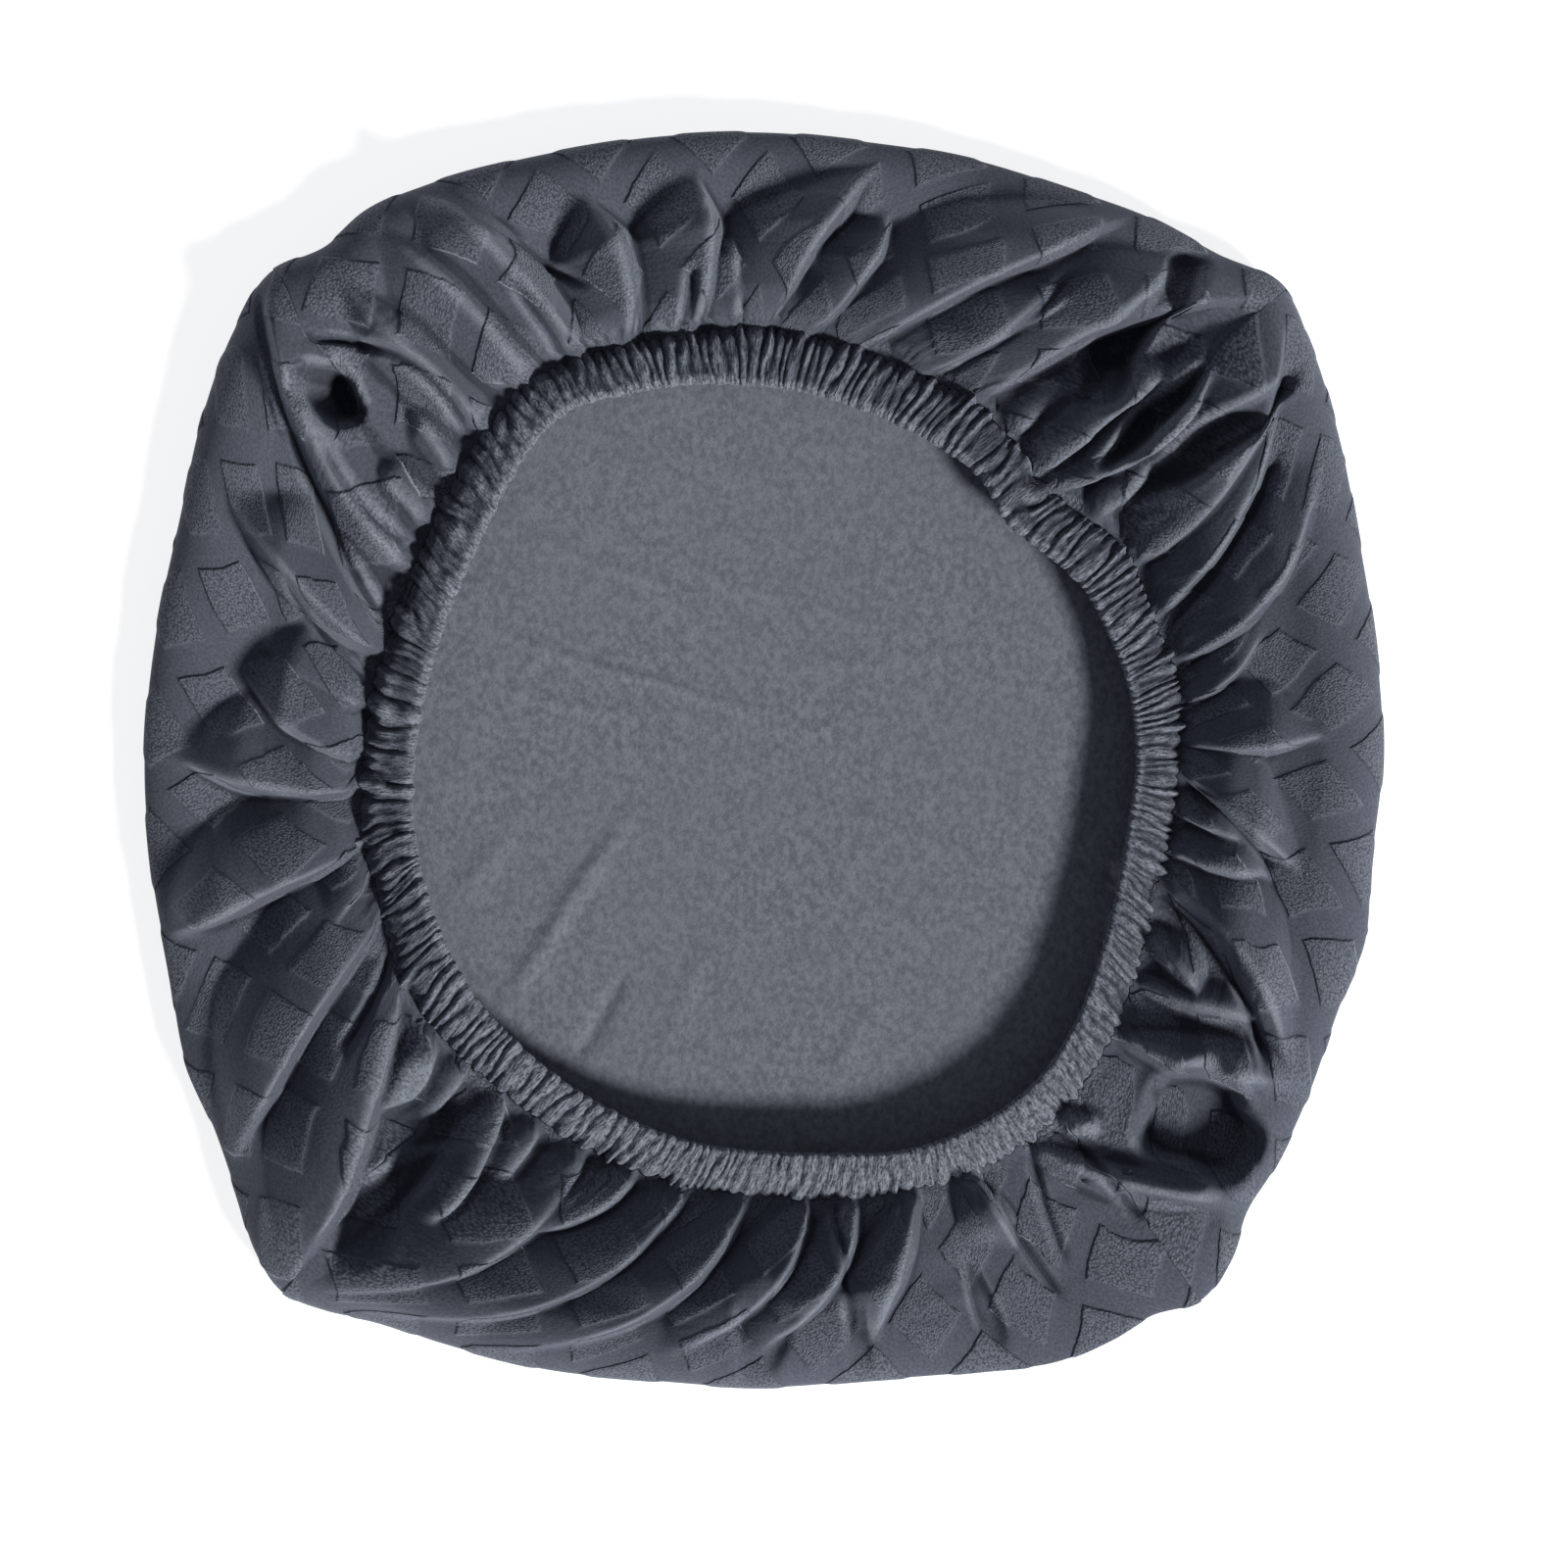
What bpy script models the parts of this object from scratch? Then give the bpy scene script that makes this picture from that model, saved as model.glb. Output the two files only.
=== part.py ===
"""Elasticated slip-on seat cover, lying face down with its mouth up.

The seat panel lies on the ground, outer face down. Four skirt flaps rise from its edge, roll
over and run inwards to a gathered hem. Each pair of flaps meets in a corner seam. The hem is a
folded casing that holds a loop of elastic, closed by a row of stitching.

Metres, +Z up. The origin is the bottom centre of the cover's box.
"""

import math

import bmesh
import bpy
import numpy as np

# Driving dimensions.
FABRIC = 0.002  # thickness of the quilted stretch fabric
GAP = 0.0003  # clearance between pieces that touch
PLY = 0.0012  # one ply of the gathered hem
STEP_DEG = 5  # spacing of the cross-sections round the cover

# The relaxed outline and the hem's base: (angle in degrees, radius in metres).
OUTLINE = [
    (0, 0.221), (20, 0.2265), (31, 0.237), (42, 0.250), (52, 0.241), (66, 0.228), (90, 0.2235),
    (108, 0.229), (124, 0.2405), (135, 0.2465), (146, 0.236), (162, 0.2235), (180, 0.221),
    (198, 0.225), (213, 0.236), (228, 0.2555), (238, 0.240), (254, 0.2285), (272, 0.224),
    (288, 0.2305), (300, 0.2405), (309, 0.2475), (318, 0.2365), (332, 0.226), (350, 0.2205),
]
HEM_BASE = [
    (0, 0.150), (25, 0.148), (45, 0.143), (65, 0.149), (90, 0.151), (120, 0.1595), (145, 0.1465),
    (170, 0.1425), (190, 0.1455), (220, 0.152), (250, 0.155), (275, 0.1585), (300, 0.1665),
    (318, 0.161), (340, 0.1515),
]
CORNERS_DEG = {"corner_seam_a": 42, "corner_seam_b": 135, "corner_seam_c": 228, "corner_seam_d": 309}
FLAPS = ["skirt_back", "skirt_left", "skirt_front", "skirt_right"]

# The skirt's cross-section.
TURN_UNDER = 0.014  # how far the flat panel stops short of the outline
WIDEST_Z = 0.015  # height at which the cover is widest
ROLL_IN = 0.020  # run of the rolled shoulder
SHOULDER_Z = 0.042  # height where the shoulder meets the gathered top
HEM_BASE_Z = 0.016  # height of the hem's base, on its centre line
TOP_FALL = 1.3  # how the gathered top falls from shoulder to hem: 1 is straight, more is rounder
LOWER_POINTS = 4
UPPER_POINTS = 4
TOP_POINTS = 5
PLEATS = 18
PLEAT_HEIGHT = 0.0035

# The hem: a casing folded round the elastic, tilted up towards the mouth.
HEM_TILT = math.radians(12)
HEM_WIDTH = 0.0173
CHANNEL = 0.0015  # half the channel's height
RAW_EDGE = 0.0035  # where the inner ply stops, from the base
ELASTIC_FROM, ELASTIC_TO = 0.0052, 0.0138
ELASTIC_THICK = 0.0012
SPLICE_DEG = (200.0, 207.5)  # the elastic's two ends meet inside this stretch
SPLICE_THICK = 0.0006
THREAD_FROM, THREAD_TO = 0.0010, 0.0026
THREAD_HALF = 0.0011

SEAM_HALF = 0.0012  # half the width of a corner seam
SEAM_DEPTH = 0.006  # its allowance, measured from the fabric's outer face

COLOURS = {
    "fabric": (0.045, 0.052, 0.068, 1.0),
    "elastic": (0.02, 0.02, 0.024, 1.0),
    "thread": (0.035, 0.04, 0.052, 1.0),
}


def periodic(points, degrees):
    """A smooth closed curve through (angle, radius) points, read at the given angle."""
    count = len(points)
    degrees = degrees % 360
    at = max(i for i in range(count) if points[i][0] <= degrees)
    angles, radii = [], []
    for k in range(at - 1, at + 3):
        turns, i = divmod(k, count)
        angles.append(points[i][0] + 360 * turns)
        radii.append(points[i][1])
    span = angles[2] - angles[1]
    t = (degrees - angles[1]) / span
    slope_in = (radii[2] - radii[0]) / (angles[2] - angles[0]) * span
    slope_out = (radii[3] - radii[1]) / (angles[3] - angles[1]) * span
    return (
        (2 * t**3 - 3 * t**2 + 1) * radii[1]
        + (t**3 - 2 * t**2 + t) * slope_in
        + (3 * t**2 - 2 * t**3) * radii[2]
        + (t**3 - t**2) * slope_out
    )


def outline_centre():
    """The middle of the outline's box, which becomes the origin."""
    at = np.arange(0, 360, STEP_DEG)
    radii = np.array([periodic(OUTLINE, a) for a in at])
    x, y = radii * np.cos(np.radians(at)), radii * np.sin(np.radians(at))
    return (x.min() + x.max()) / 2, (y.min() + y.max()) / 2


CENTRE = outline_centre()


def place(radius, height, degrees, beside=0.0):
    """A point of a cross-section in space. beside shifts it sideways from the section's plane."""
    angle = math.radians(degrees) + math.asin(beside / radius)
    return (radius * math.cos(angle) - CENTRE[0], radius * math.sin(angle) - CENTRE[1], height)


def quarter(start, end, count, upright_first):
    """Points on a quarter ellipse from start to end, without the end itself."""
    points = []
    for i in range(count):
        t = math.pi / 2 * i / count
        across, up = (1 - math.cos(t), math.sin(t)) if upright_first else (math.sin(t), 1 - math.cos(t))
        points.append((start[0] + (end[0] - start[0]) * across, start[1] + (end[1] - start[1]) * up))
    return points


def skirt_outer(degrees):
    """The skirt's outer face in one cross-section, from the seat panel's edge to the hem."""
    widest, base = periodic(OUTLINE, degrees), periodic(HEM_BASE, degrees)
    under = (widest - TURN_UNDER, 0.0)
    side = (widest, WIDEST_Z)
    shoulder = (widest - ROLL_IN, SHOULDER_Z)
    end = (base + 0.002, HEM_BASE_Z + 0.0024)
    pleat = PLEAT_HEIGHT * (2 / math.pi) * math.asin(math.sin(math.radians(PLEATS * degrees)))
    points = quarter(under, side, LOWER_POINTS, False) + quarter(side, shoulder, UPPER_POINTS, True)
    for i in range(TOP_POINTS + 1):
        s = i / TOP_POINTS
        radius = shoulder[0] + (end[0] - shoulder[0]) * s
        height = shoulder[1] + (end[1] - shoulder[1]) * s**TOP_FALL + pleat * math.sin(math.pi * s)
        points.append((radius, height))
    return points


def offset(points, distance):
    """An open polyline moved to its left, which is inwards on the skirt. It starts out level."""
    moved = []
    for i, (x, y) in enumerate(points):
        before, after = points[max(i - 1, 0)], points[min(i + 1, len(points) - 1)]
        dx, dy = after[0] - before[0], after[1] - before[1]
        if i == 0:
            dx, dy = 1.0, 0.0
        long = math.hypot(dx, dy)
        moved.append((x - dy / long * distance, y + dx / long * distance))
    return moved


def material(name):
    found = bpy.data.materials.get(name)
    if found:
        return found
    made = bpy.data.materials.new(name)
    made.use_nodes = True
    shader = made.node_tree.nodes["Principled BSDF"]
    shader.inputs["Base Color"].default_value = COLOURS[name]
    shader.inputs["Roughness"].default_value = 0.9
    shader.inputs["Metallic"].default_value = 0.0
    return made


def add_object(name, points, faces, finish):
    mesh = bpy.data.meshes.new(name)
    mesh.from_pydata(points, [], faces)
    shape = bmesh.new()
    shape.from_mesh(mesh)
    bmesh.ops.recalc_face_normals(shape, faces=shape.faces)
    shape.to_mesh(mesh)
    shape.free()
    mesh.shade_smooth()
    mesh.set_sharp_from_angle(angle=math.radians(40))
    mesh.materials.append(material(finish))
    made = bpy.data.objects.new(name, mesh)
    bpy.context.scene.collection.objects.link(made)
    return made


def skin(name, sections, finish, ring):
    """A solid through a row of cross-sections, joined end to end in a ring or capped at both ends."""
    count = len(sections[0])
    points = [p for section in sections for p in section]
    faces = []
    for i in range(len(sections) if ring else len(sections) - 1):
        here, there = i * count, (i + 1) % len(sections) * count
        for k in range(count):
            after = (k + 1) % count
            faces.append((here + k, here + after, there + after, there + k))
    if not ring:
        faces.append(tuple(reversed(range(count))))
        faces.append(tuple(len(points) - count + k for k in range(count)))
    return add_object(name, points, faces, finish)


def flap_angles(start, end):
    """The sections between two corners, clear of both."""
    clear = STEP_DEG / 2
    return [a for a in np.arange(0, 720, STEP_DEG) if start + clear < a < end - clear]


def corner_pairs():
    corners = list(CORNERS_DEG.values())
    return list(zip(corners, corners[1:] + [corners[0] + 360]))


def ring_angles():
    """The sections all the way round, the corners among them."""
    return [a for start, end in corner_pairs() for a in [start] + flap_angles(start, end)]


def seat_panel():
    """The flat panel, as rings of points on its outer and its inner face."""
    shares = (0.3, 1.0)
    points, faces = [], []
    angles = ring_angles()
    count = len(angles)
    for height in (0.0, FABRIC):
        for share in shares:
            for a in angles:
                radius = (periodic(OUTLINE, a) - TURN_UNDER - GAP) * share
                points.append(place(radius, height, a))
    layer = count * len(shares)
    for bottom in (0, layer):
        faces.append(tuple(bottom + k for k in range(count)))
        for k in range(count):
            after = (k + 1) % count
            faces.append((bottom + k, bottom + after, bottom + count + after, bottom + count + k))
    for k in range(count):
        after = (k + 1) % count
        faces.append((count + k, count + after, layer + count + after, layer + count + k))
    add_object("seat_panel", points, faces, "fabric")


def skirt_section(degrees, beside=0.0):
    outer = skirt_outer(degrees)
    loop = outer + offset(outer, FABRIC)[::-1]
    return [place(r, z, degrees, beside) for r, z in loop]


def skirt_flaps():
    """One flap between each two corners. Its ends stand square to the corner's seam."""
    beside = SEAM_HALF + GAP
    for name, (start, end) in zip(FLAPS, corner_pairs()):
        sections = [skirt_section(start, beside)]
        sections += [skirt_section(a) for a in flap_angles(start, end)]
        sections.append(skirt_section(end, -beside))
        skin(name, sections, "fabric", ring=False)


def corner_seams():
    """The turned-in allowance of each corner seam, flush with the flaps' outer face."""
    for name, degrees in CORNERS_DEG.items():
        outer = skirt_outer(degrees)
        face = offset(outer, GAP)[1:-1]
        loop = face + offset(outer, SEAM_DEPTH)[1:-1][::-1]
        sides = [[place(r, z, degrees, side) for r, z in loop] for side in (-SEAM_HALF, SEAM_HALF)]
        skin(name, sides, "thread", ring=False)


def hem_section(degrees, loop):
    """A loop of (along, above) points in the hem's own tilted plane. Along runs from base to rim."""
    base = periodic(HEM_BASE, degrees)
    section = []
    for along, above in loop:
        radius = base - along * math.cos(HEM_TILT) + above * math.sin(HEM_TILT)
        height = HEM_BASE_Z + along * math.sin(HEM_TILT) + above * math.cos(HEM_TILT)
        section.append(place(radius, height, degrees))
    return section


def arc(centre, radius, start_deg, end_deg, count):
    made = []
    for i in range(count + 1):
        angle = math.radians(start_deg + (end_deg - start_deg) * i / count)
        made.append((centre + radius * math.cos(angle), radius * math.sin(angle)))
    return made


def rectangle(along_from, along_to, low, high):
    return [(along_from, low), (along_to, low), (along_to, high), (along_from, high)]


def hem():
    """The casing, the elastic and its splice, and the stitching that closes the channel."""
    outside, rim = CHANNEL + PLY, HEM_WIDTH - CHANNEL - PLY
    casing = [(0.0, outside)] + arc(rim, outside, 90, -90, 4)
    casing += [(RAW_EDGE, -outside), (RAW_EDGE, -CHANNEL)]
    casing += arc(rim, CHANNEL, -90, 90, 3) + [(0.0, CHANNEL)]
    low = -CHANNEL + GAP
    band = rectangle(ELASTIC_FROM, ELASTIC_TO, low, low + ELASTIC_THICK)
    lap = low + ELASTIC_THICK + GAP
    splice = rectangle(ELASTIC_FROM, ELASTIC_TO, lap, lap + SPLICE_THICK)
    thread = rectangle(THREAD_FROM, THREAD_TO, -THREAD_HALF, THREAD_HALF)

    angles = ring_angles()
    skin("hem_casing", [hem_section(a, casing) for a in angles], "fabric", ring=True)
    skin("hem_stitching", [hem_section(a, thread) for a in angles], "thread", ring=True)
    first, last = SPLICE_DEG
    middle = (first + last) / 2
    half_cut = math.degrees(GAP / HEM_BASE[0][1])
    cut = [middle + half_cut] + [a for a in np.arange(0, 720, STEP_DEG) if last <= a <= first + 360]
    cut.append(middle + 360 - half_cut)
    skin("elastic_band", [hem_section(a, band) for a in cut], "elastic", ring=False)
    lapped = np.linspace(first, last, 4)
    skin("elastic_splice", [hem_section(a, splice) for a in lapped], "thread", ring=False)


def clear_scene():
    for found in list(bpy.data.objects):
        bpy.data.objects.remove(found)


clear_scene()
seat_panel()
skirt_flaps()
corner_seams()
hem()
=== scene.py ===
"""Looks for an elasticated slip-on seat cover that lies face down with its mouth up.

The skirt is one gathered cloth. Long folds, creases and hollows are laid over its smooth roll from short
tables, its columns are spread evenly over them, and the fabric's raised diamonds follow. The hem, the seat
panel and the stitching are built round it. Metres, +Z up, in the frame of the CAD part.
"""

import math

import bpy
import numpy as np
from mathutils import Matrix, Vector


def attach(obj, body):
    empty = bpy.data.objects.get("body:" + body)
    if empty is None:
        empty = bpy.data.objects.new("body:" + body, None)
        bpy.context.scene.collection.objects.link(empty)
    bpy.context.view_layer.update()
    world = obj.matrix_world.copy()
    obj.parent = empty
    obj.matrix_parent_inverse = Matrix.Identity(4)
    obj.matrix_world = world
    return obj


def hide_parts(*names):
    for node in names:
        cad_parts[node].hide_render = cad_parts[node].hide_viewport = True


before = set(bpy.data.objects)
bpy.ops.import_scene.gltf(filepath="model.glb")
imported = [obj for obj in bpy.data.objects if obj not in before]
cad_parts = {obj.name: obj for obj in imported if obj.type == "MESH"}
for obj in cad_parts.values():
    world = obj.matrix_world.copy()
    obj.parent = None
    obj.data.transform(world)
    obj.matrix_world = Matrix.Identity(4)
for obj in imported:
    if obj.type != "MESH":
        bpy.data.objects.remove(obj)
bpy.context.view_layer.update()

# ---- Shape of the cover. Angles are in degrees, anticlockwise from +X. ----------------------------

# Radii in metres, by angle: of the cover's edge, of the hem's base and of the hem's rim.
OUTLINE = [
    (0, 0.2198), (10, 0.2210), (20, 0.2252), (30, 0.2350), (37, 0.2435), (42.5, 0.2492), (48, 0.2412),
    (54, 0.2365), (62, 0.2295), (72, 0.2250), (80, 0.2222), (90, 0.2224), (100, 0.2242), (111, 0.2290),
    (120, 0.2360), (126, 0.2402), (130.5, 0.2394), (135.5, 0.2460), (141, 0.2418), (148, 0.2340),
    (157, 0.2245), (168, 0.2202), (180, 0.2197), (190, 0.2207), (200, 0.2242), (208, 0.2318),
    (214, 0.2350), (220, 0.2432), (224, 0.2510), (228, 0.2548), (231.5, 0.2500), (235, 0.2430),
    (241, 0.2368), (250, 0.2302), (260, 0.2240), (270, 0.2229), (280, 0.2237), (290, 0.2310),
    (296, 0.2380), (301, 0.2402), (305, 0.2410), (309, 0.2470), (313, 0.2430), (317, 0.2350),
    (321, 0.2325), (328, 0.2275), (337, 0.2225), (343, 0.2232), (350, 0.2190),
]
HEM_BASE = [
    (0, 0.1484), (10, 0.1508), (20, 0.1486), (30, 0.1492), (38, 0.1430), (45, 0.1402), (52, 0.1448),
    (60, 0.1484), (70, 0.1488), (80, 0.1512), (90, 0.1540), (100, 0.1545), (110, 0.1562), (120, 0.1588),
    (130, 0.1535), (140, 0.1477), (150, 0.1430), (160, 0.1412), (170, 0.1420), (180, 0.1430),
    (190, 0.1456), (200, 0.1466), (210, 0.1512), (220, 0.1522), (230, 0.1512), (240, 0.1522),
    (250, 0.1533), (260, 0.1550), (270, 0.1558), (280, 0.1588), (290, 0.1626), (300, 0.1654),
    (310, 0.1644), (320, 0.1598), (330, 0.1533), (340, 0.1478), (350, 0.1478),
]
HEM_RIM = [
    (0, 0.1332), (10, 0.1330), (20, 0.1312), (30, 0.1290), (37, 0.1242), (45, 0.1214), (51, 0.1265),
    (60, 0.1280), (70, 0.1290), (80, 0.1311), (90, 0.1332), (100, 0.1360), (110, 0.1391), (120, 0.1424),
    (130, 0.1364), (140, 0.1290), (150, 0.1252), (160, 0.1232), (170, 0.1232), (180, 0.1246),
    (190, 0.1270), (200, 0.1290), (210, 0.1312), (220, 0.1335), (230, 0.1343), (240, 0.1356),
    (250, 0.1373), (260, 0.1391), (270, 0.1401), (280, 0.1429), (290, 0.1484), (300, 0.1508),
    (310, 0.1505), (320, 0.1456), (330, 0.1391), (340, 0.1346), (350, 0.1325),
]
CORNERS = (42, 135, 228, 309)
FLAPS = ("skirt_back", "skirt_left", "skirt_front", "skirt_right")

# Where the gathers run: from this angle at the hem to this angle at the outline. They fan out of the
# four corners.
SWEEP = [
    (2, 5), (8, 17), (13.5, 27), (20.5, 34), (28, 39.5), (38, 41), (43, 42), (47, 42.8), (59.5, 45),
    (67.5, 52), (77, 58), (84, 72), (93, 93.5), (108, 108), (116, 119), (124, 125), (131, 130),
    (141, 135), (150, 136.5), (160, 139), (168.5, 155), (178.5, 171), (185, 184), (191.5, 198),
    (202, 216), (212, 226), (222, 227.5), (232, 228.6), (245.5, 230.5), (252.5, 234), (259.5, 238),
    (267.5, 247), (275.5, 262), (281.5, 270), (289.5, 281), (297, 297), (305.5, 308), (312, 309.5),
    (319, 312), (326, 318), (332, 322), (341.5, 327), (350, 340), (357, 351),
]

# The long folds: the angle where each leaves the hem, the angle and the radius in mm where it ends, how
# many degrees it bows on the way, its height in FOLD_LIFTs and its width against the usual one.
FOLDS = [
    (2.3, 2.3, 198, 0.0, 9.4, 1.0), (8.0, 14, 182, -0.5, 7.1, 0.8), (13.5, 27.5, 221, -1.4, 11.8, 1.0),
    (20.5, 35, 222, 0.3, 11.8, 1.0), (28, 40.8, 244, -1.3, 13.5, 1.1), (36.0, 37.5, 180, 0.0, 5, 0.8),
    (43, 43, 222, -3.0, 13, 0.55), (46.5, 43.5, 203, 1.2, 13, 0.55), (52.5, 50, 178, 0.5, 5, 0.8),
    (59.5, 41.5, 244, 2.7, 13.5, 1.0), (67.5, 55.5, 210, -1.0, 13, 0.9), (77, 56, 232, -1.0, 13.5, 1.0),
    (84, 77, 198, -0.8, 13, 0.9), (90, 79.5, 212, 1.0, 13.5, 1.0), (93.8, 94, 190, 0.0, 9.4, 0.8),
    (99.5, 96.5, 208, -1.0, 13.5, 1.0), (108, 107.5, 208, -1.2, 13.5, 1.0),
    (114.5, 121, 238, 0.0, 13.5, 0.9), (122, 126, 230, -0.6, 8.3, 1.6), (130, 131.5, 222, 0.4, 12, 0.8),
    (137, 135.0, 178, 0.0, 6, 0.8), (144.5, 143, 176, 0.0, 8, 0.8), (151.6, 136.4, 246, 0.0, 13.5, 0.8),
    (164, 154, 210, -0.5, 13, 0.9), (172, 167, 182, 0.0, 8, 0.9), (178.5, 171, 186, 0.7, 13, 1.0),
    (183.5, 180, 208, 0.0, 13, 1.0), (191.5, 197, 226, -0.5, 13.5, 1.0), (196, 205, 181, 0.0, 8, 0.7),
    (202, 217.5, 240, 0.0, 13.5, 1.1), (212, 227.5, 248, 2.8, 13.5, 1.1), (220.5, 222, 186, 1.5, 7, 0.8),
    (226, 226.5, 178, 0.0, 5, 0.8), (232.5, 233, 214, 1.6, 9, 0.6), (238.5, 237.5, 182, 0.0, 6, 0.8),
    (245.5, 230.5, 243, 2.5, 12, 1.0), (252.5, 240, 194, 1.0, 10, 0.9), (259.5, 233, 243, 2.7, 13, 1.0),
    (267.5, 245.5, 230, 2.2, 13, 1.0), (275.5, 261.5, 212, 2.0, 11, 0.9),
    (281.5, 269.5, 210, 1.7, 11, 0.8), (289.5, 281, 208, -0.8, 10, 1.0), (296, 297.5, 194, 0.0, 9, 0.8),
    (304.3, 319, 238, 0.0, 9, 0.7), (310, 312, 178, 0.0, 6, 0.7), (322, 329, 224, 0.0, 11, 0.8),
    (329, 333, 204, 0.0, 8, 0.8), (335, 331, 180, 0.5, 9, 0.7), (343.5, 329.5, 216, 2.0, 13.5, 1.0),
    (347.5, 347, 186, 0.0, 9.4, 0.8), (353, 350, 178, 0.0, 7.1, 0.8), (359, 348.5, 192, 0.0, 11.8, 0.9),
]
FOLD_LIFT = 1.8e-3
FOLD_END = 0.60, 1.06  # the shares of its length where a fold starts to sink and where it has gone
FOLD_START = -0.05, 0.20, 0.32  # where it starts to rise, where it is up, and how much later if sunny
HEM_SHARE = 0.54  # its height at the hem, as a share
SUNNY_DROP = 0.29  # how much less that is on the sunny side
SHORT_FOLD, SHORT_RISE = 200, 0.12  # how much more it is for folds that end within this radius in mm
HELD_SHARE = 0.45  # what is left of all that where the hem holds the cloth
HELD_END = -0.02, 0.10  # the shares of its length between which the hem lets go
SUNNY_SIDE = 315  # the angle that the light comes from
LEAN_GAIN, LOPSIDED = 1.6, 0.64  # how soon, round the cover, a fold gets lopsided, and how much
FOLD_EDGE = 0.0018  # half width in metres of a fold without height
FOLD_STEEP = 1.80  # height of a fold over its half width
STEEP_POWER, BACK_POWER = 1.12, 0.36  # the power of its steep side's profile, and what its back adds

# Creases where one lap of cloth lies against the next: the angle and the radius in mm of its two ends, how
# many degrees it bows, its depth in mm and its half width in mm.
CREASES = [
    (160, 142, 137, 244, -1.3, 9, 3.0), (149.5, 143, 143.5, 196, 0.8, 6, 2.8),
    (168.5, 143, 158.5, 182, 0.8, 6, 2.8), (111.5, 180, 121, 234, 0.6, 6, 3.0),
    (115.5, 152, 118, 190, 0.4, 5, 2.6), (131.7, 155, 138, 222, -3.0, 8, 3.0),
    (341.5, 146, 328, 210, 1.6, 7, 3.0), (357, 150, 347, 186, 1.0, 6, 2.8),
    (297.3, 165, 299, 219, 0.0, 4, 2.4), (304.8, 164, 301.1, 208, -0.6, 4, 2.6),
    (308.5, 166, 309.5, 212, 0.4, 5, 2.6), (101, 155, 99, 176, 0.0, 5, 2.8),
    (40, 146, 42.5, 214, 0.0, 5, 2.4), (279, 160, 279, 205, -0.5, 4, 2.4),
    (208, 150, 213.5, 182, 0.6, 5, 2.6), (65.5, 150, 58, 205, -0.8, 4, 2.6),
    (18, 152, 31, 214, 0.6, 4, 2.6),
]
CREASE_START, CREASE_END = (-0.08, 0.12), (0.8, 1.06)  # where along it a crease opens and closes
# Hollows, mostly at the corners, where the cloth tucks in: angle, radius in mm, half width in mm across,
# half length in mm, and depth in mm.
HOLLOWS = [
    (140.0, 201, 8.5, 13, 26), (320.4, 202, 17, 20, 30), (42.4, 182, 3.6, 22, 17),
    (36.2, 198, 6, 32, 14), (49.6, 203, 8, 32, 18), (229.0, 208, 9, 24, 9), (225.5, 178, 11, 20, 8),
    (279.2, 212, 4, 18, 3), (269.5, 206, 9, 22, 4), (292.0, 209, 4, 16, 4),
]
POCKET_DEPTH, POCKET_WARP = 25, 0.35  # hollows deeper than this in mm have this share of unevenness

TURN_UNDER = 0.014  # how far the skirt's lower edge lies in from the cover's edge
FLOOR_GAP = 0.0008
WIDEST_Z = 0.014  # where the skirt is widest
SHOULDER_Z = 0.0340  # the top of the roll
ROLL_SHARE = 0.30  # share of the roof taken by the rolled shoulder
ROOF_POWER = 1.25  # how the roof falls from the shoulder to the hem
HEM_Z = 0.0180  # the hem's base, on its outer face
HEM_WOBBLE, WOBBLE_FROM = 0.0042, 0.72  # how far the ruffles push the skirt's edge, and from where on
STRAIGHT_SHARE = 0.04  # share of the roof up which the columns run straight
# How far in mm the cloth between the folds sinks under the roof, by angle.
SINK = [
    (0, 6), (30, 8), (60, 8), (90, 7), (112, 6), (123, 4), (133, 6), (150, 7), (180, 6), (210, 6),
    (235, 7), (260, 6), (280, 2), (292, 0), (302, 0), (312, 0), (325, 1), (340, 3), (352, 5),
]
# How far in mm the rolled shoulder lies above or below its usual height, by angle.
LEVEL = [
    (0, -3), (20, -3), (42, 0), (60, -5), (75, -7), (95, -7), (112, -5), (123, -2), (135, 0), (148, -4),
    (165, -8), (185, -10), (205, -10), (218, -6), (228, 0), (238, -4), (250, -5), (270, -5), (285, -11),
    (300, -16), (309, -14), (318, -6), (327, -8), (338, -8), (350, -4),
]
CLOTH = 0.0013  # thickness
LOWEST, HIGHEST = 0.004, 0.0512  # the roof and its folds stay between these heights
OUTER_FLOOR, INNER_FLOOR = 0.0002, 0.0004  # no point of the cloth's two faces lies lower

# Spacing of the hem's ruffles in mm round the hem, and how deep they are against their spacing.
SPACING = [
    (0, 3.8), (30, 4.2), (40, 7.0), (48, 7.5), (56, 4.8), (75, 4.1), (100, 4.0), (125, 4.6), (140, 5.8),
    (155, 7.6), (190, 7.8), (205, 6.0), (222, 4.4), (240, 4.4), (270, 4.2), (300, 4.0), (330, 3.8),
]
RUFFLE_DEPTH = [
    (0, 0.62), (45, 0.72), (90, 0.74), (180, 0.78), (225, 0.66), (260, 0.50), (290, 0.46), (320, 0.50),
    (345, 0.58),
]
NARROW, WIDE = 3.8, 6.0  # mm of spacing between which ruffles turn from pleats into open loops
# How the ruffles wander on their way to the rim: waves to a ruffle, pace, and size in ruffles.
WANDER = ((0.27, 2.6, 0.14), (0.12, -3.4, 0.18), (0.44, 5.0, 0.08))

ROWS_UNDER, ROWS_ROLL, ROWS_ROOF = 6, 20, 72
COLUMNS = 1440


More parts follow.
